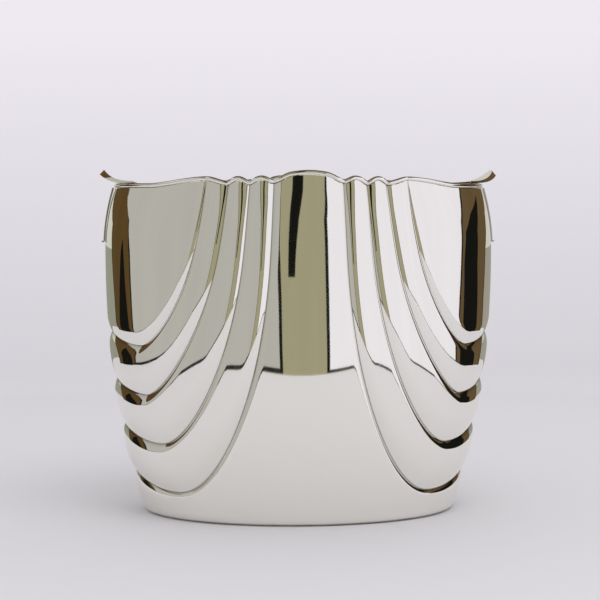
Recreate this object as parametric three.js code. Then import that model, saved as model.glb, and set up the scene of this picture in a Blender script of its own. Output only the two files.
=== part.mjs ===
// An oval champagne bucket with swagged drapery relief, in millimetres, +Z up.
// The origin is at the middle of the flat base, on the surface that the bucket stands on.
// X runs across the width, and the front faces -Y.
import * as THREE from "three";
import { mergeVertices } from "three/addons/utils/BufferGeometryUtils.js";

// Overall sizes of the oval body, measured at the bottom of the relief.
const BODY_WIDTH = 246.2;
const BODY_DEPTH = 166;
const WIDEST_HEIGHT = 168;
const BASE_WIDTH = 197.4;
const BASE_DEPTH = 138;
const TAPER_POWER = 2.2;
const RIM_HEIGHT = 209.5;
const SHOULDER_INSET_WIDTH = 6.4;
const SHOULDER_INSET_DEPTH = 3;

// The sheet that both halves are stamped from, and the fit between soldered pieces.
const WALL = 1.2;
const SOLDER_GAP = 0.3;

// The drapery relief: how far a swag stands proud, and how wide its rolled edge is.
const RELIEF = 2;
const ROLL_WIDTH = 7.5;
const ROLL_POWER = 2.3;

// The valleys between the swags, from the end panel down to the skirt. Each one hangs from the rim at
// one angle round the oval, reaches its lowest point further round, and rises a little to the end seam.
// The two powers say how full the hanging curve is, sideways and downwards.
const VALLEYS = [
  { rimAngle: 31.5, lowAngle: 57.5, lowHeight: 110, endHeight: 116, side: 1.6, fall: 2.1 },
  { rimAngle: 24.4, lowAngle: 57, lowHeight: 79, endHeight: 86, side: 1.55, fall: 2.15 },
  { rimAngle: 17.7, lowAngle: 53.5, lowHeight: 48.5, endHeight: 56.5, side: 1.85, fall: 2.25 },
  { rimAngle: 10.4, lowAngle: 50.5, lowHeight: 18, endHeight: 26.5, side: 2.15, fall: 2.45 },
];
const LAST_VALLEY = VALLEYS.length;

// The rim line: waves over the folds, a crest in the middle and a slow fall towards the ends.
const RIM_WAVE = 2.8;
const CREST_RISE = 3.6;
const CREST_ANGLE = 9;
const END_FALL = 3.9;
const FALL_FROM_ANGLE = 30;
const FALL_TO_ANGLE = 54;
const WAVE_REACH = 22;
const CREST_SHARE = 0.55;

// The turned-in bottom edge, the base plate let into it, and the bead soldered along the rim.
const BASE_ROLL_HEIGHT = 4;
const BASE_ROLL_INSET = 5;
const BASE_THICKNESS = 1.5;
const BEAD_RADIUS = 1.1;

// The scooped ear on each end of the rim, thickest at its middle.
const EAR_HALF_ANGLE = 27;
const EAR_REACH = 10.2;
const EAR_RISE = 6;
const EAR_EDGE = 0.8;
const EAR_CURVE = 1.5;
const EAR_THICKNESS = 3;
const EAR_END_THICKNESS = 1.2;

// The hanging strap below each ear, with its curled tip.
const STRAP_LENGTH = 35;
const STRAP_HALF_WIDTH = 5.5;
const STRAP_TIP_HALF_WIDTH = 3.5;
const STRAP_THICKNESS = 1.1;
const CURL_RADIUS = 1.3;
const CURL_ANGLE = 150;

// How finely the curved sheets are divided.
const FALL_STEPS = 11;
const END_STEPS = 5;
const BAND_ROWS = [0, 0.18, 0.4, 0.62, 0.84];
const PANEL_ROWS = [0, 0.2, 0.4, 0.56, 0.7, 0.82, 0.9, 0.96];
const SKIRT_ROWS = [0, 0.06, 0.15, 0.3, 0.62, 1];
const SKIRT_CORNER_SHARE = 0.62;
const ROLL_STEPS = 3;
const BEAD_STEPS = 96;
const BEAD_SIDES = 6;
const BEAD_SEAM_ROW = 0.03;

const silver = new THREE.MeshStandardMaterial({ color: 0xe6e3da, roughness: 0.06, metalness: 1 });
const innerSilver = new THREE.MeshStandardMaterial({ color: 0xd9d6cc, roughness: 0.16, metalness: 1 });

const { clamp, lerp, degToRad, smoothstep } = THREE.MathUtils;

// How far the wall has drawn in at a height: below the widest line towards the base, above it to the rim.
function drawnIn(z, baseInset, shoulderInset) {
  const below = clamp(1 - z / WIDEST_HEIGHT, 0, 1);
  const above = clamp((z - WIDEST_HEIGHT) / (RIM_HEIGHT - WIDEST_HEIGHT), 0, 1);
  return baseInset * below ** TAPER_POWER + shoulderInset * above ** 2;
}

function halfWidth(z) {
  return BODY_WIDTH / 2 - drawnIn(z, (BODY_WIDTH - BASE_WIDTH) / 2, SHOULDER_INSET_WIDTH);
}

function halfDepth(z) {
  return BODY_DEPTH / 2 - drawnIn(z, (BODY_DEPTH - BASE_DEPTH) / 2, SHOULDER_INSET_DEPTH);
}

// A point on the oval wall: the angle is 0 at the middle of the front and 90 at the right-hand seam.
// "sizeHeight" is the height whose oval is used, where it differs from the point's own height.
function wallPoint(angle, z, out, sizeHeight = z) {
  const a = degToRad(angle);
  return new THREE.Vector3(
    (halfWidth(sizeHeight) + out) * Math.sin(a),
    -(halfDepth(sizeHeight) + out) * Math.cos(a),
    z,
  );
}

// The rim line over the valleys: up to the crest in the middle, and down towards the ends.
function rimFall(angle) {
  const crest = CREST_RISE * Math.exp(-((angle / CREST_ANGLE) ** 2));
  return crest - END_FALL * smoothstep(Math.abs(angle), FALL_FROM_ANGLE, FALL_TO_ANGLE);
}

// The rim's wave over the folds, 0 in a dip and 1 on a crest. The end panel's valley makes no dip.
function rimWave(fold) {
  const k = Math.floor(fold);
  const q = fold - k;
  if (k < 1) return 1;
  if (k === 1) return Math.cos((q * Math.PI) / 2) ** 2;
  if (k < LAST_VALLEY) return Math.sin(q * Math.PI) ** 2;
  return Math.sin((Math.min(fold - LAST_VALLEY, CREST_SHARE) / CREST_SHARE) * (Math.PI / 2)) ** 2;
}

// The settings of the fold line "fold": 0 is the top corner of the end panel, 1 to 4 are the valleys.
function foldShape(fold) {
  const corner = {
    rimAngle: 90,
    lowAngle: 90,
    lowHeight: RIM_HEIGHT,
    endHeight: RIM_HEIGHT,
    side: VALLEYS[0].side,
    fall: VALLEYS[0].fall,
  };
  const shapes = [corner, ...VALLEYS];
  const k = Math.min(Math.floor(fold), shapes.length - 2);
  const mixed = {};
  for (const key of Object.keys(corner)) {
    mixed[key] = lerp(shapes[k][key], shapes[k + 1][key], fold - k);
  }
  return mixed;
}

// A place on a fold line: "along" runs 0 to 1 down the hanging part and 1 to 2 up to the end seam.
function foldPlace(fold, along) {
  const s = foldShape(fold);
  if (along <= 1) {
    const turn = (along * Math.PI) / 2;
    const sideways = 1 - Math.max(Math.cos(turn), 0) ** (2 / s.side);
    const down = Math.sin(turn) ** (2 / s.fall);
    return {
      angle: lerp(s.rimAngle, s.lowAngle, sideways),
      z: lerp(RIM_HEIGHT, s.lowHeight, down),
    };
  }
  const rise = Math.sin(((along - 1) * Math.PI) / 2) ** 2;
  return {
    angle: lerp(s.lowAngle, 90, along - 1),
    z: lerp(s.lowHeight, s.endHeight, rise),
  };
}

// The outer edge of the skirt: down the middle line of the front, then along the bottom to the seam.
const SKIRT_CORNER = Math.round(FALL_STEPS * SKIRT_CORNER_SHARE) / FALL_STEPS;

function skirtEdge(along) {
  if (along <= SKIRT_CORNER) {
    const top = foldPlace(LAST_VALLEY, 0).z;
    const cornerHeight = foldPlace(LAST_VALLEY, SKIRT_CORNER).z;
    const down = (top - foldPlace(LAST_VALLEY, along).z) / (top - cornerHeight);
    return { angle: 0, z: lerp(RIM_HEIGHT, BASE_ROLL_HEIGHT, down) };
  }
  const start = foldPlace(LAST_VALLEY, SKIRT_CORNER).angle;
  const across = (foldPlace(LAST_VALLEY, along).angle - start) / (90 - start);
  return { angle: 90 * across, z: BASE_ROLL_HEIGHT };
}

function sheetPlace(fold, along) {
  if (fold <= LAST_VALLEY) return foldPlace(fold, along);
  const inner = foldPlace(LAST_VALLEY, along);
  const outer = skirtEdge(along);
  const q = fold - LAST_VALLEY;
  return { angle: lerp(inner.angle, outer.angle, q), z: lerp(inner.z, outer.z, q) };
}

// How proud the sheet stands: nothing in a valley, the full relief a roll's width away from it.
function relief(fold, along) {
  const low = Math.min(Math.floor(fold), LAST_VALLEY);
  const from = sheetPlace(low, along);
  const to = sheetPlace(low + 1, along);
  const width = wallPoint(from.angle, from.z, 0).distanceTo(wallPoint(to.angle, to.z, 0));
  const q = fold - low;
  let share = Math.min(q, 1 - q);
  if (low === 0) share = 1 - q;
  if (low === LAST_VALLEY) share = q;
  const near = clamp((share * width) / ROLL_WIDTH, 0, 1);
  return RELIEF * (1 - (1 - near) ** ROLL_POWER);
}

// The height of the sheet's top edge on a fold line.
function rimTop(fold) {
  return RIM_HEIGHT + rimFall(sheetPlace(fold, 0).angle) + RIM_WAVE * rimWave(fold);
}

// The finished place of one sheet point: the rim line stretches the sheet's topmost part.
function sheetPoint(fold, along) {
  const place = sheetPlace(fold, along);
  const proud = relief(fold, along);
  const reach = clamp((place.z - RIM_HEIGHT + WAVE_REACH) / WAVE_REACH, 0, 1);
  const lift = (rimTop(fold) - RIM_HEIGHT) * reach ** 2;
  return { angle: place.angle, z: place.z + lift, size: place.z, proud };
}

// One closed solid from a sheet: outer and inner points over the same faces, joined along the free edges.
function closedSheet(outer, inner, faces) {
  const n = outer.length;
  const positions = [...outer, ...inner].flatMap((p) => [p.x, p.y, p.z]);
  const index = [];
  const edges = new Map();
  for (const [a, b, c] of faces) {
    index.push(a, b, c, n + a, n + c, n + b);
    for (const [p, q] of [[a, b], [b, c], [c, a]]) {
      if (edges.has(`${q}_${p}`)) edges.delete(`${q}_${p}`);
      else edges.set(`${p}_${q}`, [p, q]);
    }
  }
  for (const [p, q] of edges.values()) index.push(q, p, n + p, q, n + p, n + q);
  const geometry = new THREE.BufferGeometry();
  geometry.setAttribute("position", new THREE.Float32BufferAttribute(positions, 3));
  geometry.setIndex(index);
  return geometry;
}

// The faces of a grid of points kept row by row, leaving out those that a shared corner has closed up.
function gridFaces(ids, flip) {
  const faces = [];
  const add = (a, b, c) => {
    if (a !== b && b !== c && c !== a) faces.push(flip ? [a, c, b] : [a, b, c]);
  };
  for (let i = 0; i + 1 < ids.length; i++) {
    for (let j = 0; j + 1 < ids[i].length; j++) {
      add(ids[i][j], ids[i + 1][j], ids[i + 1][j + 1]);
      add(ids[i][j], ids[i + 1][j + 1], ids[i][j + 1]);
    }
  }
  return faces;
}

// A list of paired outer and inner points in which points at the same place share a number.
function pointPool() {
  const outer = [];
  const inner = [];
  const known = new Map();
  return {
    outer,
    inner,
    add(p, q) {
      const key = [p.x, p.y, p.z].map((v) => (Math.round(v * 1000) || 0)).join("_");
      if (!known.has(key)) {
        known.set(key, outer.length);
        outer.push(p);
        inner.push(q);
      }
      return known.get(key);
    },
  };
}

function foldRows() {
  const rows = PANEL_ROWS.slice();
  for (let k = 1; k < LAST_VALLEY; k++) rows.push(...BAND_ROWS.map((q) => k + q));
  rows.push(...SKIRT_ROWS.map((q) => LAST_VALLEY + q));
  return rows;
}

function alongSteps() {
  const steps = [];
  for (let i = 0; i <= FALL_STEPS; i++) steps.push(i / FALL_STEPS);
  for (let i = 1; i <= END_STEPS; i++) steps.push(1 + i / END_STEPS);
  return steps;
}

// How much the wall leans in where the bottom roll begins.
function baseLean(angle) {
  const high = wallPoint(angle, BASE_ROLL_HEIGHT + 1, 0);
  const low = wallPoint(angle, BASE_ROLL_HEIGHT, 0);
  return high.distanceTo(low.setZ(high.z));
}

// The roll at the foot of the wall: a quarter turn from the leaning wall to the flat underside.
function rollPoint(angle, turn, thick) {
  const lean = baseLean(angle) * BASE_ROLL_HEIGHT;
  const inward = 2 * turn * (1 - turn) * lean + turn ** 2 * (lean + BASE_ROLL_INSET);
  const z = BASE_ROLL_HEIGHT * (1 - turn) ** 2;
  const quarter = (turn * Math.PI) / 2;
  const out = RELIEF - inward - thick * Math.cos(quarter);
  return wallPoint(angle, z + thick * Math.sin(quarter), out, BASE_ROLL_HEIGHT);
}

// One stamped half of the body, front side: two mirrored drapes, the middle panel and the skirt.
function bodyHalf() {
  const pool = pointPool();
  const seam = new THREE.Vector3(0, -SOLDER_GAP / 2, 0);
  const faces = [];
  for (const side of [1, -1]) {
    const ids = foldRows().map((fold) =>
      alongSteps().map((along) => {
        const p = sheetPoint(fold, along);
        const onWall = (out) => wallPoint(side * p.angle, p.z, out, p.size).add(seam);
        return pool.add(onWall(p.proud), onWall(p.proud - WALL));
      }),
    );
    faces.push(...gridFaces(ids, side < 0));
    const angles = bottomAngles();
    const roll = [ids.at(-1).slice(-angles.length)];
    for (let k = 1; k <= ROLL_STEPS; k++) {
      roll.push(
        angles.map((angle) => {
          const onRoll = (thick) => rollPoint(side * angle, k / ROLL_STEPS, thick).add(seam);
          return pool.add(onRoll(0), onRoll(WALL));
        }),
      );
    }
    faces.push(...gridFaces(roll, side < 0));
  }
  return closedSheet(pool.outer, pool.inner, faces);
}

// The angles of the sheet's corners along its bottom edge, from the middle of the front to the seam.
function bottomAngles() {
  return alongSteps()
    .filter((along) => along >= SKIRT_CORNER - 1e-9)
    .map((along) => skirtEdge(along).angle);
}

// The flat oval plate that closes the bottom: its corners face those of the turned-in edge.
function basePlate() {
  const quarter = bottomAngles();
  const ring = [
    ...quarter,
    ...quarter.slice(0, -1).reverse().map((a) => 180 - a),
    ...quarter.slice(1).map((a) => 180 + a),
    ...quarter.slice(1, -1).reverse().map((a) => 360 - a),
  ];
  const outline = ring.map((angle) => {
    const edge = rollPoint(angle, 1, 0);
    const plan = new THREE.Vector2(edge.x, edge.y);
    return plan.setLength(plan.length() - SOLDER_GAP);
  });
  return new THREE.ExtrudeGeometry(new THREE.Shape(outline), {
    depth: BASE_THICKNESS,
    bevelEnabled: false,
  });
}

// The middle of the sheet's top edge on one fold line.
function topEdge(fold, side) {
  const p = sheetPoint(fold, 0);
  return wallPoint(side * p.angle, p.z, p.proud - WALL / 2, p.size);
}

// The round bead that stiffens the rim of one half, from seam to seam. It lies square to the top edge, and
// one more row close to the seam keeps its end face square to the seam.
function rimBead() {
  const rows = [0, BEAD_SEAM_ROW, ...foldRows().slice(1)];
  const left = rows.map((fold) => topEdge(fold, -1));
  const right = rows.map((fold) => topEdge(fold, 1)).reverse();
  const edge = [...left, ...right.slice(1)];
  const points = edge.map((p, i) => {
    const before = edge[Math.max(i - 1, 0)];
    const after = edge[Math.min(i + 1, edge.length - 1)];
    const tangent = after.clone().sub(before).normalize();
    const square = new THREE.Vector3(0, 0, 1).addScaledVector(tangent, -tangent.z).normalize();
    return p.clone().addScaledVector(square, SOLDER_GAP + BEAD_RADIUS);
  });
  for (const p of points) p.y -= SOLDER_GAP / 2;
  const section = [];
  for (let i = 0; i < BEAD_SIDES; i++) {
    const turn = (2 * Math.PI * i) / BEAD_SIDES;
    section.push(new THREE.Vector2(Math.cos(turn), Math.sin(turn)).multiplyScalar(BEAD_RADIUS));
  }
  return new THREE.ExtrudeGeometry(new THREE.Shape(section), {
    steps: BEAD_STEPS,
    extrudePath: new THREE.CatmullRomCurve3(points),
    bevelEnabled: false,
  });
}

// The scooped ear on the right-hand end of the rim: it flares out and up from the bead.
function ear() {
  const pool = pointPool();
  const across = 14;
  const outwards = 4;
  const beadTop = 2 * (SOLDER_GAP + BEAD_RADIUS);
  const ids = [];
  for (let i = 0; i <= across; i++) {
    const s = (2 * i) / across - 1;
    const angle = 90 + s * EAR_HALF_ANGLE;
    const swell = 0.5 + 0.5 * Math.cos(Math.PI * s);
    const reach = EAR_EDGE + EAR_REACH * swell;
    const rise = EAR_EDGE + EAR_RISE * swell;
    const root = RIM_HEIGHT + RIM_WAVE + rimFall(90 - Math.abs(s) * EAR_HALF_ANGLE) + beadTop;
    const start = RELIEF - WALL;
    const thickness = lerp(EAR_END_THICKNESS, EAR_THICKNESS, swell);
    const row = [];
    for (let j = 0; j <= outwards; j++) {
      const q = j / outwards;
      const out = start + reach * q;
      const up = root + rise * q ** EAR_CURVE;
      const slope = Math.atan2(EAR_CURVE * rise * q ** (EAR_CURVE - 1), reach);
      const thick = (w) =>
        wallPoint(angle, up + w * Math.cos(slope), out - w * Math.sin(slope), RIM_HEIGHT);
      row.push(pool.add(thick(0), thick(thickness)));
    }
    ids.push(row);
  }
  return closedSheet(pool.outer, pool.inner, gridFaces(ids, false));
}

// The strap under the right-hand ear: it lies on the end seam and its tip curls away from the wall.
function strap() {
  const pool = pointPool();
  const top = rimTop(0) - SOLDER_GAP;
  const curlHeight = top - STRAP_LENGTH + CURL_RADIUS;
  const straightSteps = 8;
  const curlSteps = 7;
  const path = [];
  for (let i = 0; i <= straightSteps; i++) {
    const z = lerp(top, curlHeight, i / straightSteps);
    path.push({ z, size: z, out: 0, turn: 0 });
  }
  for (let i = 1; i <= curlSteps; i++) {
    const turn = degToRad((CURL_ANGLE * i) / curlSteps);
    const out = CURL_RADIUS * (1 - Math.cos(turn));
    path.push({ z: curlHeight - CURL_RADIUS * Math.sin(turn), size: curlHeight, out, turn });
  }
  const across = 4;
  const ids = path.map((p, i) => {
    const half = lerp(STRAP_HALF_WIDTH, STRAP_TIP_HALF_WIDTH, i / (path.length - 1));
    const row = [];
    for (let j = 0; j <= across; j++) {
      const y = half * ((2 * j) / across - 1);
      const angle = 90 + THREE.MathUtils.radToDeg(y / halfDepth(p.size));
      const layer = (w) => {
        const out = RELIEF + SOLDER_GAP + p.out + w * Math.cos(p.turn);
        return wallPoint(angle, p.z + w * Math.sin(p.turn), out, p.size);
      };
      row.push(pool.add(layer(STRAP_THICKNESS), layer(0)));
    }
    return row;
  });
  return closedSheet(pool.outer, pool.inner, gridFaces(ids, false));
}

// A named, flat-shaded mesh. A turned one is the same piece for the other end or side of the bucket.
function named(name, geometry, material, turned = false) {
  const bare = geometry.clone();
  bare.deleteAttribute("normal");
  bare.deleteAttribute("uv");
  const flat = mergeVertices(bare).toNonIndexed();
  flat.computeVertexNormals();
  const mesh = new THREE.Mesh(flat, material);
  mesh.name = name;
  if (turned) mesh.rotation.z = Math.PI;
  return mesh;
}

const bucket = new THREE.Group();
bucket.name = "oval_champagne_bucket";
const half = bodyHalf();
const bead = rimBead();
bucket.add(named("body_front", half, silver));
bucket.add(named("body_back", half, silver, true));
bucket.add(named("base_plate", basePlate(), innerSilver));
bucket.add(named("rim_bead_front", bead, silver));
bucket.add(named("rim_bead_back", bead, silver, true));
bucket.add(named("ear_right", ear(), silver));
bucket.add(named("ear_left", ear(), silver, true));
bucket.add(named("strap_right", strap(), silver));
bucket.add(named("strap_left", strap(), silver, true));

export default bucket;
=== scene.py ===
# %% [markdown]
# # An oval champagne bucket in mirror-polished silver
# The real bucket is hollowware: two pressed halves with a drapery relief, a flat base, a bead along the
# rim, and a flared ear with a hanging strap at each end. Everything here is in metres, in the frame of the
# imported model: X across the width, -Y to the front, Z up, and the origin under the middle of the base.

# %% Load the frame
import math

import bpy
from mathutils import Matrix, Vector


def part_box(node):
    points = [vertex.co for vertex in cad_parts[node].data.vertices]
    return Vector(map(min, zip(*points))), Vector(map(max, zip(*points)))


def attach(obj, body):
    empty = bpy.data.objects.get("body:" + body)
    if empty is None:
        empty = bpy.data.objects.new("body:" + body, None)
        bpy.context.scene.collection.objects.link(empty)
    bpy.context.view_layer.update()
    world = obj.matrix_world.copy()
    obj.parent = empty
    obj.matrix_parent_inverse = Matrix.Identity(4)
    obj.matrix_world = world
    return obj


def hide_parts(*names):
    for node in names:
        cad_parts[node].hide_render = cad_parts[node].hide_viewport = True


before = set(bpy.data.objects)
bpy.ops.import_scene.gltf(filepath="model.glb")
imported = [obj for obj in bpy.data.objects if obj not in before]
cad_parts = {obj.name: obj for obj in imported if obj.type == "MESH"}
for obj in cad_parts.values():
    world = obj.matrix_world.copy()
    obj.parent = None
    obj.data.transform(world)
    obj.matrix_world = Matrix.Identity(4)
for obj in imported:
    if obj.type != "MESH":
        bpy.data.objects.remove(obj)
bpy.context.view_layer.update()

# %% [markdown]
# ## The sizes that shape the drapery
# A pressing follows its die, so the fine sheet is worked out from the same few settings as the packed
# solid. Its width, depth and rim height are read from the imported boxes; only the curves are named here.
# A valley is told by its angles round the oval at the rim and where it hangs lowest, by its heights there
# and at the end seam, and by two powers that say how squarely it turns sideways and down.

# %% Sizes of the oval
MM = 0.001
half_low, half_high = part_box("body_front")
RELIEF = 2 * MM
WALL = 1.2 * MM
SOLDER_GAP = 0.3 * MM
WAVE = 2.8 * MM
TRIM = 0.7 * MM
BEAD_RADIUS = 1.4 * MM
CREST_RISE = 3.6 * MM
HALF_WIDTH = half_high[0] - RELIEF
HALF_DEPTH = -half_low[1] - RELIEF - SOLDER_GAP / 2
RIM = half_high[2] - WAVE - CREST_RISE
WIDEST = 168 * MM
BASE_HALF_WIDTH = HALF_WIDTH - 24.4 * MM
BASE_HALF_DEPTH = HALF_DEPTH - 14 * MM
SHOULDER_WIDTH = 6.4 * MM
SHOULDER_DEPTH = 3 * MM
TAPER_POWER = 2.2
MERGE_DISTANCE = 0.01 * MM
print(f"oval {2000 * HALF_WIDTH:.1f} by {2000 * HALF_DEPTH:.1f} mm, rim at {1000 * RIM:.1f} mm")

# %% The swags, the rim line and the foot
CREST_ANGLE = 9
CREST_SHARE = 0.55
END_FALL = 3.9 * MM
FALL_ANGLES = (30, 54)
WAVE_REACH = 22 * MM
BASE_ROLL_HEIGHT = 4 * MM
BASE_ROLL_INSET = 5 * MM
VALLEYS = [
    dict(rim=31.5, low=57.5, low_z=110 * MM, end_z=116 * MM, side=1.6, fall=2.1),
    dict(rim=24.4, low=57.0, low_z=79 * MM, end_z=86 * MM, side=1.55, fall=2.15),
    dict(rim=17.7, low=53.5, low_z=48.5 * MM, end_z=56.5 * MM, side=1.85, fall=2.25),
    dict(rim=10.4, low=50.5, low_z=18 * MM, end_z=26.5 * MM, side=2.15, fall=2.45),
]
CORNER = dict(VALLEYS[0], rim=90, low=90, low_z=RIM, end_z=RIM)
FOLDS = [CORNER, *VALLEYS]
LAST = len(VALLEYS)
print(f"{LAST} valleys, lowest at", [round(v["low_z"] / MM, 1) for v in VALLEYS], "mm")

# %% [markdown]
# ## The oval wall
# The wall is an oval at every height. It is widest at four fifths of its height, draws in to the base
# along a power curve, and draws in a little to the rim. One function gives any point on it.

# %% A point on the wall
def clamp01(value):
    return min(max(value, 0.0), 1.0)


def lerp(a, b, t):
    return a + (b - a) * t


def smoothstep(value, low, high):
    t = clamp01((value - low) / (high - low))
    return t * t * (3 - 2 * t)


def half_axes(z):
    below = clamp01(1 - z / WIDEST) ** TAPER_POWER
    above = max((z - WIDEST) / (RIM - WIDEST), 0) ** 2
    width = HALF_WIDTH - (HALF_WIDTH - BASE_HALF_WIDTH) * below - SHOULDER_WIDTH * above
    depth = HALF_DEPTH - (HALF_DEPTH - BASE_HALF_DEPTH) * below - SHOULDER_DEPTH * above
    return width, depth


def wall_point(angle, z, out, size_z=None):
    width, depth = half_axes(z if size_z is None else size_z)
    turn = math.radians(angle)
    return Vector(((width + out) * math.sin(turn), -(depth + out) * math.cos(turn), z))


print("half width and half depth at the foot:", [round(axis / MM, 1) for axis in half_axes(0)], "mm")

# %% [markdown]
# ## The hanging folds
# A swag's valley hangs from the rim like a chain: down, round and a little up to the end seam. A fold
# number of 1 to 4 is a valley, 0 is the top corner of the end panel, and 5 is the edge of the skirt. The
# second number runs along the fold, 0 to 1 down the hanging part and 1 to 2 up to the seam.

# %% A place on a fold
FALL_STEPS = 132
END_STEPS = 54
SKIRT_CORNER_SHARE = 0.62
SKIRT_CORNER = round(FALL_STEPS * SKIRT_CORNER_SHARE) / FALL_STEPS


def fold_place(fold, along):
    k = min(int(fold), LAST - 1)
    s = {key: lerp(FOLDS[k][key], FOLDS[k + 1][key], fold - k) for key in CORNER}
    if along <= 1:
        turn = along * math.pi / 2
        sideways = 1 - max(math.cos(turn), 0) ** (2 / s["side"])
        down = math.sin(turn) ** (2 / s["fall"])
        return lerp(s["rim"], s["low"], sideways), lerp(RIM, s["low_z"], down)
    rise = math.sin((along - 1) * math.pi / 2) ** 2
    return lerp(s["low"], 90, along - 1), lerp(s["low_z"], s["end_z"], rise)


def skirt_edge(along):
    corner_angle, corner_z = fold_place(LAST, SKIRT_CORNER)
    angle, z = fold_place(LAST, along)
    if along <= SKIRT_CORNER:
        return 0.0, lerp(RIM, BASE_ROLL_HEIGHT, (RIM - z) / (RIM - corner_z))
    return 90 * (angle - corner_angle) / (90 - corner_angle), BASE_ROLL_HEIGHT


def sheet_place(fold, along):
    if fold <= LAST:
        return fold_place(fold, along)
    inner, outer = fold_place(LAST, along), skirt_edge(along)
    return tuple(lerp(a, b, fold - LAST) for a, b in zip(inner, outer))


print("the skirt's corner lies", SKIRT_CORNER, "of the way down the last valley")

# %% [markdown]
# ## The relief
# It is measured from the valleys. Above a valley the hem of a fold rolls down into it, narrow at the rim
# and wide where the fold hangs lowest. Under the valley the next fold comes out in a tighter roll, which
# widens again towards the end seam. Between its two rolls a hanging fold is a little full, so that
# reflections run slantwise across it. Each list goes from the end panel's fold to the innermost one.

# %% The depths and the rolls
RIM_ROLLS = [3.2 * MM, 8.5 * MM, 8.5 * MM, 8.5 * MM]
RIM_DEPTHS = [0.9 * MM, 1.7 * MM, 1.7 * MM, 1.7 * MM]
FULL_DEPTH_AT = 0.34
HEM_ROLLS = [10 * MM, 18 * MM, 18 * MM, 16 * MM]
HEM_DEPTH = 2.3 * MM
HEM_POWERS = [1.7, 2.1, 2.1, 2.1]
HANG_POWER = 2.2
UNDER_ROLL = (5 * MM, 5.5 * MM, 10 * MM)
UNDER_POWER = 2.3
SEAM_SPAN = (0.8, 1.3)
CROWNS = [0, 0.3 * MM, 0.6 * MM, 0.9 * MM]
CROWN_SPAN = (0.25, 0.7)
print("hem rolls:", [round(roll / MM, 1) for roll in HEM_ROLLS], "mm wide")


# %% How far the sheet stands out
def valley_depth(number, along):
    return lerp(RIM_DEPTHS[number - 1], HEM_DEPTH, clamp01(along / FULL_DEPTH_AT))


def fold_width(low, along):
    start, end = sheet_place(low, along), sheet_place(low + 1, along)
    return (wall_point(*start, 0) - wall_point(*end, 0)).length


def under_valley(fold, along):
    """1 in a valley, falling to 0 across the roll on its lower side."""
    low = min(int(fold), LAST)
    if low == 0:
        return 0.0
    at_rim, hanging, at_seam = UNDER_ROLL
    roll = lerp(lerp(at_rim, hanging, clamp01(along)), at_seam, smoothstep(along, *SEAM_SPAN))
    return 1 - clamp01((fold - low) * fold_width(low, along) / roll)


def relief(fold, along):
    low = min(int(fold), LAST)
    width = fold_width(low, along)
    hang = clamp01(along) ** HANG_POWER
    out = RELIEF
    if low < LAST:
        near = 1 - clamp01((low + 1 - fold) * width / lerp(RIM_ROLLS[low], HEM_ROLLS[low], hang))
        out -= valley_depth(low + 1, along) * near ** lerp(UNDER_POWER, HEM_POWERS[low], hang)
    if low > 0:
        out -= valley_depth(low, along) * under_valley(fold, along) ** UNDER_POWER
    if 0 < low < LAST:
        q = fold - low
        out += CROWNS[low] * 4 * q * (1 - q) * smoothstep(along, *CROWN_SPAN)
    return out


print("sheet out in the first valley:", round(relief(1, 1) / MM, 2), "mm")

# %% [markdown]
# The rim waves up over each fold and down to the three inner valleys, rises to a crest in the middle and
# falls to the ends. The top of the sheet is stretched to meet that line, more the nearer it is to the rim.

# %% The rim line and a point on the sheet
def rim_wave(fold):
    k, q = int(fold), fold - int(fold)
    if k < 1:
        return 1.0
    if k == 1:
        return math.cos(q * math.pi / 2) ** 2
    if k < LAST:
        return math.sin(q * math.pi) ** 2
    return math.sin(min(fold - LAST, CREST_SHARE) / CREST_SHARE * math.pi / 2) ** 2


def rim_top(fold):
    angle = sheet_place(fold, 0)[0]
    crest = CREST_RISE * math.exp(-((angle / CREST_ANGLE) ** 2))
    return RIM + crest - END_FALL * smoothstep(abs(angle), *FALL_ANGLES) + WAVE * rim_wave(fold)


def sheet_point(fold, along, side):
    angle, z = sheet_place(fold, along)
    reach = clamp01((z - RIM + WAVE_REACH) / WAVE_REACH)
    top = z + (rim_top(fold) - TRIM - RIM) * reach ** 2
    return wall_point(side * angle, top, relief(fold, along), z)


print("the rim's crest stands at", round(rim_top(LAST + 1) / MM, 1), "mm")

# %% [markdown]
# ## The camera
# It stands a little left of the middle and a little below the rim, about 1.1 m away, and looks slightly
# down. A long lens keeps the oval from bulging towards it.

# %% Place the camera
CAMERA_DISTANCE = 1.1
CAMERA_HEIGHT = 0.198
CAMERA_YAW = math.radians(4.2)
CAMERA_PAN = math.radians(0.03)
CAMERA_TILT = math.radians(3.26)
CAMERA_LENS = 101.6
camera_data = bpy.data.cameras.new("camera")
camera_data.sensor_width = 36
camera_data.lens = CAMERA_LENS
camera = bpy.data.objects.new("camera", camera_data)
bpy.context.collection.objects.link(camera)
camera.location = (
    -CAMERA_DISTANCE * math.sin(CAMERA_YAW), -CAMERA_DISTANCE * math.cos(CAMERA_YAW), CAMERA_HEIGHT)
camera.rotation_euler = (math.pi / 2 - CAMERA_TILT, 0, -CAMERA_YAW - CAMERA_PAN)
bpy.context.scene.camera = camera
print("camera at", [round(part, 3) for part in camera.location])

# %% [markdown]
# ## Shader maths
# A small class wraps a socket, so that a mask can be written as a sum or a product. A finish is one
# material, and one method of it adds every other node.

# %% The shader helper
class Sock:
    def __init__(self, tree, socket):
        self.tree, self.socket = tree, socket

    def math(self, operation, *others):
        node = self.tree.nodes.new("ShaderNodeMath")
        node.operation = operation
        for slot, value in zip(node.inputs, (self, *others)):
            connect(self.tree, value, slot)
        return Sock(self.tree, node.outputs[0])

    def __add__(self, other):
        return self.math("ADD", other)

    def __mul__(self, other):
        return self.math("MULTIPLY", other)

    __radd__ = __add__
    __rmul__ = __mul__


def connect(tree, value, slot):
    if isinstance(value, Sock):
        tree.links.new(value.socket, slot)
    else:
        slot.default_value = value


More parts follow.
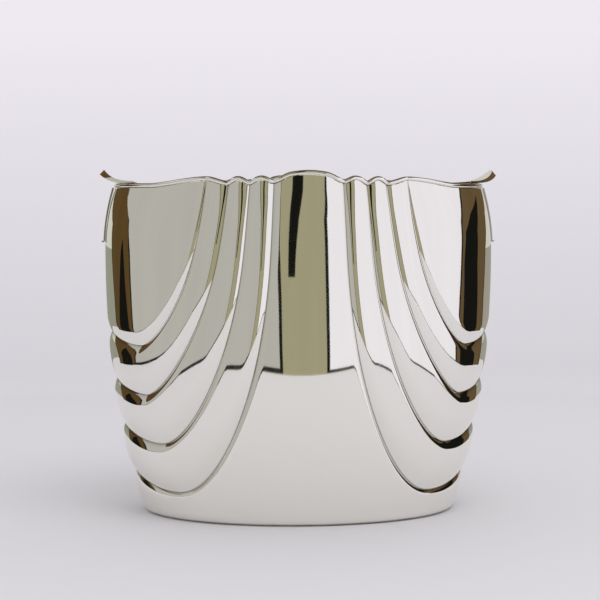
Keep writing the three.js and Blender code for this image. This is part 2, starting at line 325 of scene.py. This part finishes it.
class Finish:
    def __init__(self, name):
        self.material = bpy.data.materials.new(name)
        self.material.use_nodes = True
        self.tree = self.material.node_tree
        self.tree.nodes.clear()

    def node(self, kind, settings=None, output=0, numbered=None, **named):
        """Adds a node. Its sockets are given by name, or by number where several share a name."""
        node = self.tree.nodes.new("ShaderNode" + kind)
        for key, value in (settings or {}).items():
            setattr(node, key, value)
        sockets = {key.replace("_", " "): value for key, value in named.items()}
        for slot, value in {**sockets, **(numbered or {})}.items():
            connect(self.tree, value, node.inputs[slot])
        return Sock(self.tree, node.outputs[output]) if node.outputs else None

    def blend(self, factor, low, high):
        return self.node("Mix", {"data_type": "RGBA"}, output=2, numbered={0: factor, 6: low, 7: high})

    def close(self, shader):
        self.node("OutputMaterial", Surface=shader)
        return self.material

# %% [markdown]
# ## Silver
# Silver plate is nearly a perfect mirror with a faint warm cast. What makes it look real is small: a hand
# polisher leaves the surface very slightly uneven, and fine hairline scratches catch the light. In and
# under
# each valley the colour is darkened: tarnish stays where no cloth reaches, and painted shade draws the dark
# line under the valley. An attribute on the sheet says how deep in a valley it is.

# %% The silver finishes
SILVER = (0.925, 0.912, 0.856, 1)
WARM_SILVER = (0.88, 0.86, 0.785, 1)
# The dark colour of tarnish and painted shade, in the valleys and along the strap edges.
TARNISH_AND_SHADE = (0.10, 0.085, 0.06, 1)
WARM_SHARE = 0.35
CLOUD_DULLING = 0.02
TARNISH_AND_SHADE_LEAST, TARNISH_AND_SHADE_CLOUD, TARNISH_AND_SHADE_MOST = 0.5, 0.3, 0.8
TARNISH_AND_SHADE_DULLING = 0.12
HAIR_DEPTH = 0.004


def silver(name, tarnish_and_shade, roughness, scratches):
    f = Finish(name)
    place = f.node("TexCoord", output=3)
    cloud = f.node("TexNoise", Vector=place, Scale=38.0, Detail=4.0, Roughness=0.6)
    drawn_out = f.node("Mapping", Vector=place, Scale=(900, 900, 40))
    hair = f.node("TexNoise", Vector=drawn_out, Scale=1.0, Detail=2.0)
    colour = f.blend(cloud * WARM_SHARE, SILVER, WARM_SILVER)
    rough = cloud * CLOUD_DULLING + hair * scratches + roughness
    # Darkens where the attribute says: partly tarnish, partly painted shade for the dark lines.
    if tarnish_and_shade:
        depth = f.node("Attribute", {"attribute_name": "valley"}, output=2)
        stain_and_shade = (depth * (cloud * TARNISH_AND_SHADE_CLOUD + TARNISH_AND_SHADE_LEAST)).math("MINIMUM", TARNISH_AND_SHADE_MOST)
        colour = f.blend(stain_and_shade, colour, TARNISH_AND_SHADE)
        rough = rough + stain_and_shade * TARNISH_AND_SHADE_DULLING
    swell = f.node("TexNoise", Vector=place, Scale=22.0, Detail=1.0)
    bump = f.node("Bump", Strength=0.06, Distance=0.0008, Height=swell + hair * HAIR_DEPTH)
    shader = f.node("BsdfPrincipled", Base_Color=colour, Metallic=1.0, Roughness=rough, Normal=bump)
    return f.close(shader)


body_silver = silver("body_silver", True, 0.015, 0.02)
trim_silver = silver("trim_silver", True, 0.02, 0.03)
base_silver = silver("base_silver", False, 0.10, 0.12)
print("finishes:", [m.name for m in (body_silver, trim_silver, base_silver)])

# %% [markdown]
# ## Helpers for the bench
# Every piece starts as a primitive that is selected on its own, and ends at the origin with its place in
# its mesh.

# %% Selecting and finishing a piece
def only(obj):
    bpy.ops.object.select_all(action="DESELECT")
    obj.select_set(True)
    bpy.context.view_layer.objects.active = obj


def blank(name, rows, columns):
    """A flat grid of rows by columns cells, each vertex at its own row and column number."""
    bpy.ops.object.select_all(action="DESELECT")
    bpy.ops.mesh.primitive_grid_add(x_subdivisions=columns, y_subdivisions=rows, size=1)
    obj = bpy.context.object
    obj.name = obj.data.name = name
    for v in obj.data.vertices:
        v.co = ((v.co.x + 0.5) * columns, (v.co.y + 0.5) * rows, 0)
    return obj


def edit(obj, *steps):
    only(obj)
    bpy.ops.object.mode_set(mode="EDIT")
    bpy.ops.mesh.select_all(action="SELECT")
    for step in steps:
        step()
    bpy.ops.object.mode_set(mode="OBJECT")


def apply(obj, kind, **settings):
    only(obj)
    modifier = obj.modifiers.new(kind.lower(), kind)
    for key, value in settings.items():
        setattr(modifier, key, value)
    bpy.ops.object.modifier_apply(modifier=modifier.name)


def soften(obj, width, segments, from_angle):
    """Bevels every edge that is sharper than the angle, given in degrees."""
    angle = math.radians(from_angle)
    apply(obj, "BEVEL", width=width, segments=segments, limit_method="ANGLE", angle_limit=angle)


def finish_piece(obj, node, material, smooth=50):
    only(obj)
    bpy.ops.object.shade_smooth_by_angle(angle=math.radians(smooth))
    obj.data.materials.clear()
    obj.data.materials.append(material)
    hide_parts(node)
    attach(obj, "root")
    triangles = sum(len(p.vertices) - 2 for p in obj.data.polygons)
    print(f"{obj.name}: {triangles} triangles")

# %% [markdown]
# ## The pressed halves
# On the real bucket each half is one sheet pressed in a die. It starts here as a flat grid, whose rows are
# the folds and whose columns run along them, so that the mesh lines lie along every valley and the
# reflections stay clean. The rows crowd together near a valley, where the sheet turns fastest.

# %% The rows of the sheet
BAND_ROWS = 22
PANEL_ROWS = 30
SKIRT_ROWS = 34
CROWDING = 1.9


def crowded(q):
    """Even steps from 0 to 1 that gather at both ends."""
    return 0.5 * q + 0.5 * (0.5 - 0.5 * math.cos(math.pi * q))


fold_rows = [1 - (1 - i / PANEL_ROWS) ** CROWDING for i in range(PANEL_ROWS)]
for k in range(1, LAST):
    fold_rows += [k + crowded(i / BAND_ROWS) for i in range(BAND_ROWS)]
fold_rows += [LAST + (i / SKIRT_ROWS) ** CROWDING for i in range(SKIRT_ROWS + 1)]
along_steps = [i / FALL_STEPS for i in range(FALL_STEPS)]
along_steps += [1 + i / END_STEPS for i in range(END_STEPS + 1)]
print(f"{len(fold_rows)} rows by {len(along_steps)} columns in each drape")


# %% Press one drape
TARNISH_AND_SHADE_POWER = 9


def drape(side):
    """One side of a half. Its attribute tells the finish how deep in a valley each point lies."""
    obj = blank("drape", len(fold_rows) - 1, len(along_steps) - 1)
    valley = obj.data.attributes.new("valley", "FLOAT", "POINT")
    for v in obj.data.vertices:
        fold, along = fold_rows[round(v.co.y)], along_steps[round(v.co.x)]
        # How deep under a valley a point lies, which the finish paints dark as tarnish and painted shade.
        valley.data[v.index].value = under_valley(fold, along) ** TARNISH_AND_SHADE_POWER
        v.co = sheet_point(fold, along, side)
    return obj

# %% [markdown]
# The foot isn't pressed but rolled in afterwards, to a flat edge that holds the base. The bottom edge is
# extruded step by step round a quarter turn, which starts in the direction in which the wall leans.

# %% Roll the foot
ROLL_STEPS = 7


def base_lean(angle):
    """How far the wall draws in for each unit of height, just above the foot."""
    high = wall_point(angle, BASE_ROLL_HEIGHT + MM, 0)
    low = wall_point(angle, BASE_ROLL_HEIGHT, 0)
    return (high - low).xy.length / MM


def roll_point(angle, turn):
    lean = base_lean(angle) * BASE_ROLL_HEIGHT
    inward = 2 * turn * (1 - turn) * lean + turn ** 2 * (lean + BASE_ROLL_INSET)
    return wall_point(angle, BASE_ROLL_HEIGHT * (1 - turn) ** 2, RELIEF - inward, BASE_ROLL_HEIGHT)


def angle_of(co):
    """The plan angle of a point, from the ratio of the oval's axes at the foot."""
    width, depth = half_axes(BASE_ROLL_HEIGHT)
    return math.degrees(math.atan2(co.x / width, -co.y / depth))


def roll_foot(obj):
    only(obj)
    bpy.ops.object.mode_set(mode="EDIT")
    bpy.ops.mesh.select_all(action="DESELECT")
    bpy.ops.object.mode_set(mode="OBJECT")
    for edge in obj.data.edges:
        ends = [obj.data.vertices[i] for i in edge.vertices]
        edge.select = all(v.co.z < BASE_ROLL_HEIGHT + MERGE_DISTANCE for v in ends)
        if edge.select:
            for v in ends:
                v.select = True
    for k in range(1, ROLL_STEPS + 1):
        bpy.ops.object.mode_set(mode="EDIT")
        bpy.ops.mesh.select_mode(type="EDGE")
        bpy.ops.mesh.extrude_edges_move()
        bpy.ops.object.mode_set(mode="OBJECT")
        for v in obj.data.vertices:
            if v.select:
                v.co = roll_point(angle_of(v.co), k / ROLL_STEPS)


# %% Join two drapes to a half and give it the wall
def half_sheet(name, turned):
    right, left = drape(1), drape(-1)
    bpy.ops.object.select_all(action="DESELECT")
    left.select_set(True)
    right.select_set(True)
    bpy.context.view_layer.objects.active = right
    bpy.ops.object.join()
    obj = bpy.context.object
    obj.name = obj.data.name = name
    edit(obj, lambda: bpy.ops.mesh.remove_doubles(threshold=MERGE_DISTANCE))
    roll_foot(obj)
    for v in obj.data.vertices:
        v.co.y -= SOLDER_GAP / 2
        if turned:
            v.co.x, v.co.y = -v.co.x, -v.co.y
    edit(obj, lambda: bpy.ops.mesh.normals_make_consistent(inside=False))
    apply(obj, "SOLIDIFY", thickness=WALL, offset=-1, use_even_offset=True)
    return obj


body_front = half_sheet("front_half", False)
finish_piece(body_front, "body_front", body_silver)
body_back = half_sheet("back_half", True)
finish_piece(body_back, "body_back", body_silver)

# %% [markdown]
# ## The rim bead
# Silversmiths solder a round wire along the cut edge of the sheet, which hides the edge and stiffens it.
# A path with a round bevel follows the top edge exactly.

# %% The two beads
def top_edge(fold, side):
    angle, z = sheet_place(fold, 0)
    return wall_point(side * angle, rim_top(fold) - TRIM, relief(fold, 0) - WALL / 2, z)


def bead_path():
    left = [top_edge(fold, -1) for fold in fold_rows]
    right = [top_edge(fold, 1) for fold in reversed(fold_rows[:-1])]
    edge = left + right
    path = []
    for i, p in enumerate(edge):
        tangent = (edge[min(i + 1, len(edge) - 1)] - edge[max(i - 1, 0)]).normalized()
        square = (Vector((0, 0, 1)) - tangent * tangent.z).normalized()
        path.append(p + square * (SOLDER_GAP + BEAD_RADIUS))
    return path


def rim_bead(name, turned):
    bpy.ops.object.select_all(action="DESELECT")
    bpy.ops.curve.primitive_nurbs_path_add()
    obj = bpy.context.object
    obj.name = name
    obj.data.splines.clear()
    path = bead_path()
    spline = obj.data.splines.new("POLY")
    spline.points.add(len(path) - 1)
    flip = -1 if turned else 1
    for point, p in zip(spline.points, path):
        point.co = (flip * p.x, flip * (p.y - SOLDER_GAP / 2), p.z, 1)
    obj.data.bevel_depth = BEAD_RADIUS
    obj.data.bevel_resolution = 5
    obj.data.use_fill_caps = True
    only(obj)
    bpy.ops.object.convert(target="MESH")
    obj = bpy.context.object
    obj.data.name = name
    return obj


finish_piece(rim_bead("front_rim_bead", False), "rim_bead_front", trim_silver)
finish_piece(rim_bead("back_rim_bead", True), "rim_bead_back", trim_silver)

# %% [markdown]
# ## The ears
# Each end of the rim carries a scooped ear, which gives the thumbs a hold when the full bucket is carried.
# It is a grid bent out and up from the bead, thickened most at its middle and rounded along its edge, so
# that it thins away to both sides and seems to flow out of the rim.

# %% The two ears
EAR_HALF_ANGLE = 26
EAR_REACH = 9 * MM
EAR_RISE = 5.2 * MM
EAR_THICKNESS = 4.2 * MM
EAR_ROOT, EAR_EDGE = 0.9 * MM, 0.5 * MM
EAR_ROOT_SHARE = 0.45
EAR_END_SHARE = 0.25
EAR_CURVE = 1.5
EAR_REACH_POWER = 0.7
EAR_RISE_POWER = 2.2
EAR_ACROSS, EAR_OUTWARDS = 56, 16


def ear(name, flip):
    obj = blank(name, EAR_OUTWARDS, EAR_ACROSS)
    lip = obj.vertex_groups.new(name="lip")
    for v in obj.data.vertices:
        s, q = 2 * v.co.x / EAR_ACROSS - 1, v.co.y / EAR_OUTWARDS
        swell = 0.5 + 0.5 * math.cos(math.pi * s)
        share = lerp(EAR_END_SHARE, lerp(EAR_ROOT_SHARE, 1, q), swell)
        lip.add([v.index], share, "REPLACE")
        fall = END_FALL * smoothstep(90 - abs(s) * EAR_HALF_ANGLE, *FALL_ANGLES)
        root = RIM + WAVE - TRIM - fall + 2 * (SOLDER_GAP + BEAD_RADIUS) + share * EAR_THICKNESS / 2
        reach = EAR_REACH * swell ** EAR_REACH_POWER + EAR_EDGE
        z = root + EAR_RISE * swell ** EAR_RISE_POWER * q ** EAR_CURVE
        v.co = wall_point(90 + s * EAR_HALF_ANGLE, z, reach * q + EAR_ROOT, RIM)
        v.co.x, v.co.y = flip * v.co.x, flip * v.co.y
    edit(obj, lambda: bpy.ops.mesh.normals_make_consistent(inside=False))
    apply(obj, "SOLIDIFY", thickness=EAR_THICKNESS, offset=0, vertex_group="lip")
    soften(obj, width=1.5 * MM, segments=6, from_angle=50)
    return obj


finish_piece(ear("ear_of_right_end", 1), "ear_right", trim_silver)
finish_piece(ear("ear_of_left_end", -1), "ear_left", trim_silver)

# %% [markdown]
# ## The straps
# Under each ear a narrow strap lies on the end seam and hides the joint; its tip curls away from the wall.
# It starts as a strip, whose rows run down the wall and then round the curl. Its edges carry painted shade.

# %% The two straps
STRAP_LENGTH = 35 * MM
STRAP_HALF_WIDTH, STRAP_TIP_HALF_WIDTH = 5.5 * MM, 3.5 * MM
STRAP_THICKNESS = 1.1 * MM
CURL_RADIUS = 1.3 * MM
CURL_TURN = math.radians(150)
STRAIGHT_STEPS, CURL_STEPS, STRAP_ACROSS = 24, 14, 8
STRAP_EDGE_SHADE_POWER = 6


def strap(name, flip):
    obj = blank(name, STRAIGHT_STEPS + CURL_STEPS, STRAP_ACROSS)
    valley = obj.data.attributes.new("valley", "FLOAT", "POINT")
    top = RIM + WAVE - END_FALL - SOLDER_GAP
    curl_z = top - STRAP_LENGTH + CURL_RADIUS
    middle = STRAP_THICKNESS / 2
    for v in obj.data.vertices:
        step = round(v.co.y)
        turn = CURL_TURN * max(step - STRAIGHT_STEPS, 0) / CURL_STEPS
        size_z = lerp(top, curl_z, min(step / STRAIGHT_STEPS, 1))
        half = lerp(STRAP_HALF_WIDTH, STRAP_TIP_HALF_WIDTH, step / (STRAIGHT_STEPS + CURL_STEPS))
        across = half * (2 * v.co.x / STRAP_ACROSS - 1)
        # Painted shade: the finish darkens the strap towards both edges, as a dark outline.
        valley.data[v.index].value = abs(across / half) ** STRAP_EDGE_SHADE_POWER
        out = RELIEF + SOLDER_GAP + CURL_RADIUS * (1 - math.cos(turn)) + middle * math.cos(turn)
        z = size_z + (middle - CURL_RADIUS) * math.sin(turn)
        v.co = wall_point(90 + math.degrees(across / half_axes(size_z)[1]), z, out, size_z)
        v.co.x, v.co.y = flip * v.co.x, flip * v.co.y
    edit(obj, lambda: bpy.ops.mesh.normals_make_consistent(inside=False))
    apply(obj, "SOLIDIFY", thickness=STRAP_THICKNESS, offset=0)
    soften(obj, width=0.35 * MM, segments=3, from_angle=50)
    return obj


finish_piece(strap("strap_of_right_end", 1), "strap_right", trim_silver)
finish_piece(strap("strap_of_left_end", -1), "strap_left", trim_silver)

# %% [markdown]
# ## The base plate
# The base is cut from the same sheet and let into the turned-in foot. It starts as an oval disc. Inset
# rings carry a shallow pressed step, which keeps such a plate from drumming, and the edge is softened.

# %% The base plate
STEP_RISE = 0.4 * MM
STEP_INSET = 9 * MM
STEP_SLOPE = 1.5 * MM
MIDDLE_INSET = 30 * MM
PLATE_FIT = 0.998
base_low, base_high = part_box("base_plate")
bpy.ops.object.select_all(action="DESELECT")
bpy.ops.mesh.primitive_circle_add(vertices=160, radius=1, fill_type="NGON")
base = bpy.context.object
base.name = base.data.name = "base_disc"
for v in base.data.vertices:
    v.co = (v.co.x * base_high[0] * PLATE_FIT, v.co.y * base_high[1] * PLATE_FIT, base_low[2])
edit(
    base,
    lambda: bpy.ops.mesh.normals_make_consistent(inside=False),
    lambda: bpy.ops.mesh.inset(thickness=STEP_INSET),
    lambda: bpy.ops.mesh.inset(thickness=STEP_SLOPE),
    lambda: bpy.ops.transform.translate(value=(0, 0, STEP_RISE)),
    lambda: bpy.ops.mesh.inset(thickness=MIDDLE_INSET),
)
apply(base, "SOLIDIFY", thickness=base_high[2] - base_low[2] - STEP_RISE, offset=1)
soften(base, width=0.2 * MM, segments=3, from_angle=60)
finish_piece(base, "base_plate", base_silver, smooth=30)

# %% [markdown]
# ## The studio
# A mirror shows the room, so the room is part of the finish. Cards stand round the table: a grey one on the
# left and a bright one on the right, with a drab wall between them behind the camera, and dark wood beyond
# their outer edges and above them. Each card has a black edge, which draws the thin dark lines that make
# silver readable. The cards stand outside the picture, and only the silver sees them. Their edges were
# found by trying, with one level moved at a time until its reflection fell in the right place.

# %% An even glow, and a card that only the silver sees
CARD_DISTANCE = 0.56
PAPER_FRONT = 0.475
NEAR_CARDS = 1.0
CARD_EDGE = 1.3
EDGE_BEHIND = 4 * MM
CARD_STEPS = 24
CARD_GRAIN = 0.06


def glow(name, colour, grain=CARD_GRAIN):
    """A light that is a little uneven, in upright streaks."""
    f = Finish(name)
    place = f.node("Mapping", Vector=f.node("TexCoord", output=3), Scale=(9, 9, 1.6))
    streaks = f.node("TexNoise", Vector=place, Scale=1.0, Detail=3.0)
    low = (*(part * (1 - grain) for part in colour), 1)
    high = (*(part * (1 + grain) for part in colour), 1)
    return f.close(f.node("Emission", Color=f.blend(streaks, low, high), Strength=1.0))


def only_reflected(obj):
    for seen_by in ("visible_camera", "visible_shadow", "visible_diffuse"):
        setattr(obj, seen_by, False)


# %% Cards on a circle
def card_reach(distance, turn):
    """A card follows a circle, but in front the near cards stand straight, along the paper's edge."""
    ahead = math.cos(turn)
    if distance > NEAR_CARDS or ahead <= 0:
        return distance
    return min(distance, (PAPER_FRONT + distance - CARD_DISTANCE) / ahead)


def upright(name, levels, distance, material):
    """Stands up a card. A level is a left and a right azimuth and a height; azimuth 0 is straight ahead."""
    obj = blank(name, len(levels) - 1, CARD_STEPS)
    for v in obj.data.vertices:
        left, right, height = levels[round(v.co.y)]
        turn = math.radians(lerp(left, right, v.co.x / CARD_STEPS))
        reach = card_reach(distance, turn)
        v.co = (reach * math.sin(turn), -reach * math.cos(turn), height)
    obj.data.materials.append(material)
    only_reflected(obj)


BLACK = glow("black_edge", (0.008, 0.008, 0.007))


def card(name, colour, levels, grain=CARD_GRAIN):
    """A card with a wider black one behind it, which reaches down to the table."""
    upright(name, levels, CARD_DISTANCE, glow(name, colour, grain))
    wider = [(left - CARD_EDGE, right + CARD_EDGE, height) for left, right, height in levels]
    foot = (*wider[0][:2], 0.0)
    upright(name + "_edge", [foot, *wider], CARD_DISTANCE + EDGE_BEHIND, BLACK)


# %% The grey and the white card
card("grey_card", (0.475, 0.465, 0.44), [
    (-94.2, -8.6, 0.008), (-93.8, -9.0, 0.10), (-94.6, -9.6, 0.16), (-98.5, -11.0, 0.25),
    (-110, -17, 0.33), (-123, -24, 0.47)])
card("white_card", (0.88, 0.86, 0.93), [
    (12.8, 84.2, 0.005), (12.0, 83.8, 0.10), (11.4, 84.5, 0.16), (11.2, 85.9, 0.24),
    (14, 92, 0.33), (21, 106, 0.47)])

# %% The dark wood beyond them, with a black gap in front and a shelf above
LEFT_WOOD = (0.10, 0.060, 0.022)
RIGHT_WOOD = (0.13, 0.086, 0.042)
WOOD_GRAIN = 0.25
GAP_DISTANCE = CARD_DISTANCE - 5 * MM
SHELF_DISTANCE = CARD_DISTANCE - 6 * MM
card("left_wood", LEFT_WOOD, [
    (-119.6, -95.5, 0.006), (-120.3, -95.1, 0.10), (-123.8, -95.9, 0.15), (-127, -98, 0.22),
    (-143, -100, 0.26), (-150, -109, 0.33), (-152, -121, 0.47), (-150, -100, 0.62)], WOOD_GRAIN)
card("right_wood", RIGHT_WOOD, [
    (85.5, 120.5, 0.004), (85.1, 117.5, 0.10), (85.9, 119.5, 0.16), (87.0, 128, 0.23),
    (89.0, 143, 0.26), (93.5, 150, 0.33), (108, 152, 0.47), (100, 150, 0.62)], WOOD_GRAIN)
upright("left_gap", [
    (-114.3, -98.3, 0), (-112.9, -99.6, 0.07), (-104.8, -104.2, 0.19)], GAP_DISTANCE, BLACK)
upright("right_gap", [
    (89.3, 108.5, 0), (88.8, 107.5, 0.07), (87.6, 104.5, 0.14), (90, 106, 0.21), (99, 112, 0.26),
    (116.9, 117.8, 0.30)], GAP_DISTANCE, BLACK)
upright("left_shelf", [(-128, -87, 0.41), (-128, -84, 0.62)], SHELF_DISTANCE,
        glow("left_shelf", LEFT_WOOD, WOOD_GRAIN))
upright("right_shelf", [(86, 128, 0.41), (84, 128, 0.62)], SHELF_DISTANCE,
        glow("right_shelf", RIGHT_WOOD, WOOD_GRAIN))

# %% The wall and the stand in front, and the room at both sides
WALL_DISTANCE = 1.3
ROOM_DISTANCE = 0.7
upright("drab_wall", [(-40, 40, -0.4), (-40, 40, 1.6)], WALL_DISTANCE,
        glow("drab_wall", (0.365, 0.34, 0.225)))
upright("camera_stand", [
    (-5.0, -2.2, 0.130), (-4.8, -1.4, 0.19), (-4.5, -0.6, 0.24), (-4.6, 0.8, 0.28), (-6, 4, 0.75)],
    CARD_DISTANCE, BLACK)
for name, colour, levels in (
    ("left_room", (0.30, 0.305, 0.25), [(-180, -121, 0), (-180, -124, 0.16)]),
    ("left_window", (0.62, 0.62, 0.55), [(-180, -124, 0.16), (-180, -140, 0.5)]),
    ("right_room", (0.34, 0.325, 0.28), [(118, 180, 0), (121, 180, 0.16)]),
    ("right_window", (0.62, 0.61, 0.56), [(121, 180, 0.16), (140, 180, 0.5)]),
):
    upright(name, levels, ROOM_DISTANCE, glow(name, colour))

# %% [markdown]
# A sheet of pale paper lies on the table and sweeps up behind the bucket without a fold, so no edge shows.
# Its far part is painted as lit from behind: it turns by degrees from paper into an even glow.

# %% The paper sweep
PAPER_BEND = 0.9
BEND_RADIUS = 0.5
BEND_STEPS = 16
PAPER_TOP = 1.6
PAPER_HALF_WIDTH = 1.6
PAPER_DROP = 0.2 * MM
PAPER_TONES = (0.72, 0.71, 0.725, 1), (0.735, 0.725, 0.74, 1)
PAPER_GLOW = (0.86, 0.82, 0.88, 1)
GLOW_HEIGHT = 0.45


def sweep_profile():
    bend = [math.pi / 2 * i / BEND_STEPS for i in range(BEND_STEPS + 1)]
    curve = [(PAPER_BEND + BEND_RADIUS * math.sin(a), BEND_RADIUS * (1 - math.cos(a))) for a in bend]
    return [(-PAPER_FRONT, 0.0), *curve, (PAPER_BEND + BEND_RADIUS, PAPER_TOP)]


def paper():
    f = Finish("pale_paper")
    place = f.node("TexCoord", output=3)
    grain = f.node("TexNoise", Vector=place, Scale=60.0, Detail=3.0)
    height = f.node("SeparateXYZ", output=2, Vector=place)
    lit = f.node("BsdfPrincipled", Base_Color=f.blend(grain, *PAPER_TONES), Roughness=0.9)
    glowing = f.node("Emission", Color=PAPER_GLOW, Strength=1.0)
    # Painted light: the glow takes over as the paper rises.
    share = (height * (1 / GLOW_HEIGHT)).math("MINIMUM", 1)
    return f.close(f.node("MixShader", numbered={0: share, 1: lit, 2: glowing}))


profile = sweep_profile()
sweep = blank("paper_sweep", len(profile) - 1, 1)
for v in sweep.data.vertices:
    y, z = profile[round(v.co.y)]
    v.co = ((2 * v.co.x - 1) * PAPER_HALF_WIDTH, y, z - PAPER_DROP)
sweep.data.materials.append(paper())
only(sweep)
bpy.ops.object.shade_smooth()
print("paper from", -PAPER_FRONT, "to", PAPER_BEND + BEND_RADIUS, "and up to", PAPER_TOP)

# %% [markdown]
# The inside of the bucket looks up at a dim ceiling. A plain pale room lights everything evenly, and one
# broad lamp above adds a soft shadow; the silver doesn't show the lamp.

# %% The ceiling, the room light and the lamp
bpy.ops.object.select_all(action="DESELECT")
bpy.ops.mesh.primitive_plane_add(size=2.2, location=(0, 0, 1.3))
ceiling = bpy.context.object
ceiling.name = "dim_ceiling"
ceiling.data.materials.append(glow("dim_ceiling", (0.12, 0.115, 0.095)))
only_reflected(ceiling)

world = bpy.data.worlds.new("studio")
bpy.context.scene.world = world
world.use_nodes = True
background = world.node_tree.nodes["Background"]
background.inputs["Color"].default_value = (0.86, 0.85, 0.89, 1)
background.inputs["Strength"].default_value = 1.0

lamp_data = bpy.data.lights.new("soft_key", "AREA")
lamp_data.shape = "SQUARE"
lamp_data.size = 0.9
lamp_data.energy = 4
lamp = bpy.data.objects.new("soft_key", lamp_data)
bpy.context.collection.objects.link(lamp)
lamp.location = (0.4, -0.6, 1.4)
lamp.rotation_euler = (-lamp.location).to_track_quat("-Z", "Y").to_euler()
lamp.visible_camera = False
lamp.visible_glossy = False
print("lamp:", lamp_data.energy, "W at", [round(part, 2) for part in lamp.location])

# %% Close the scene
bpy.context.scene.view_settings.view_transform = "Standard"
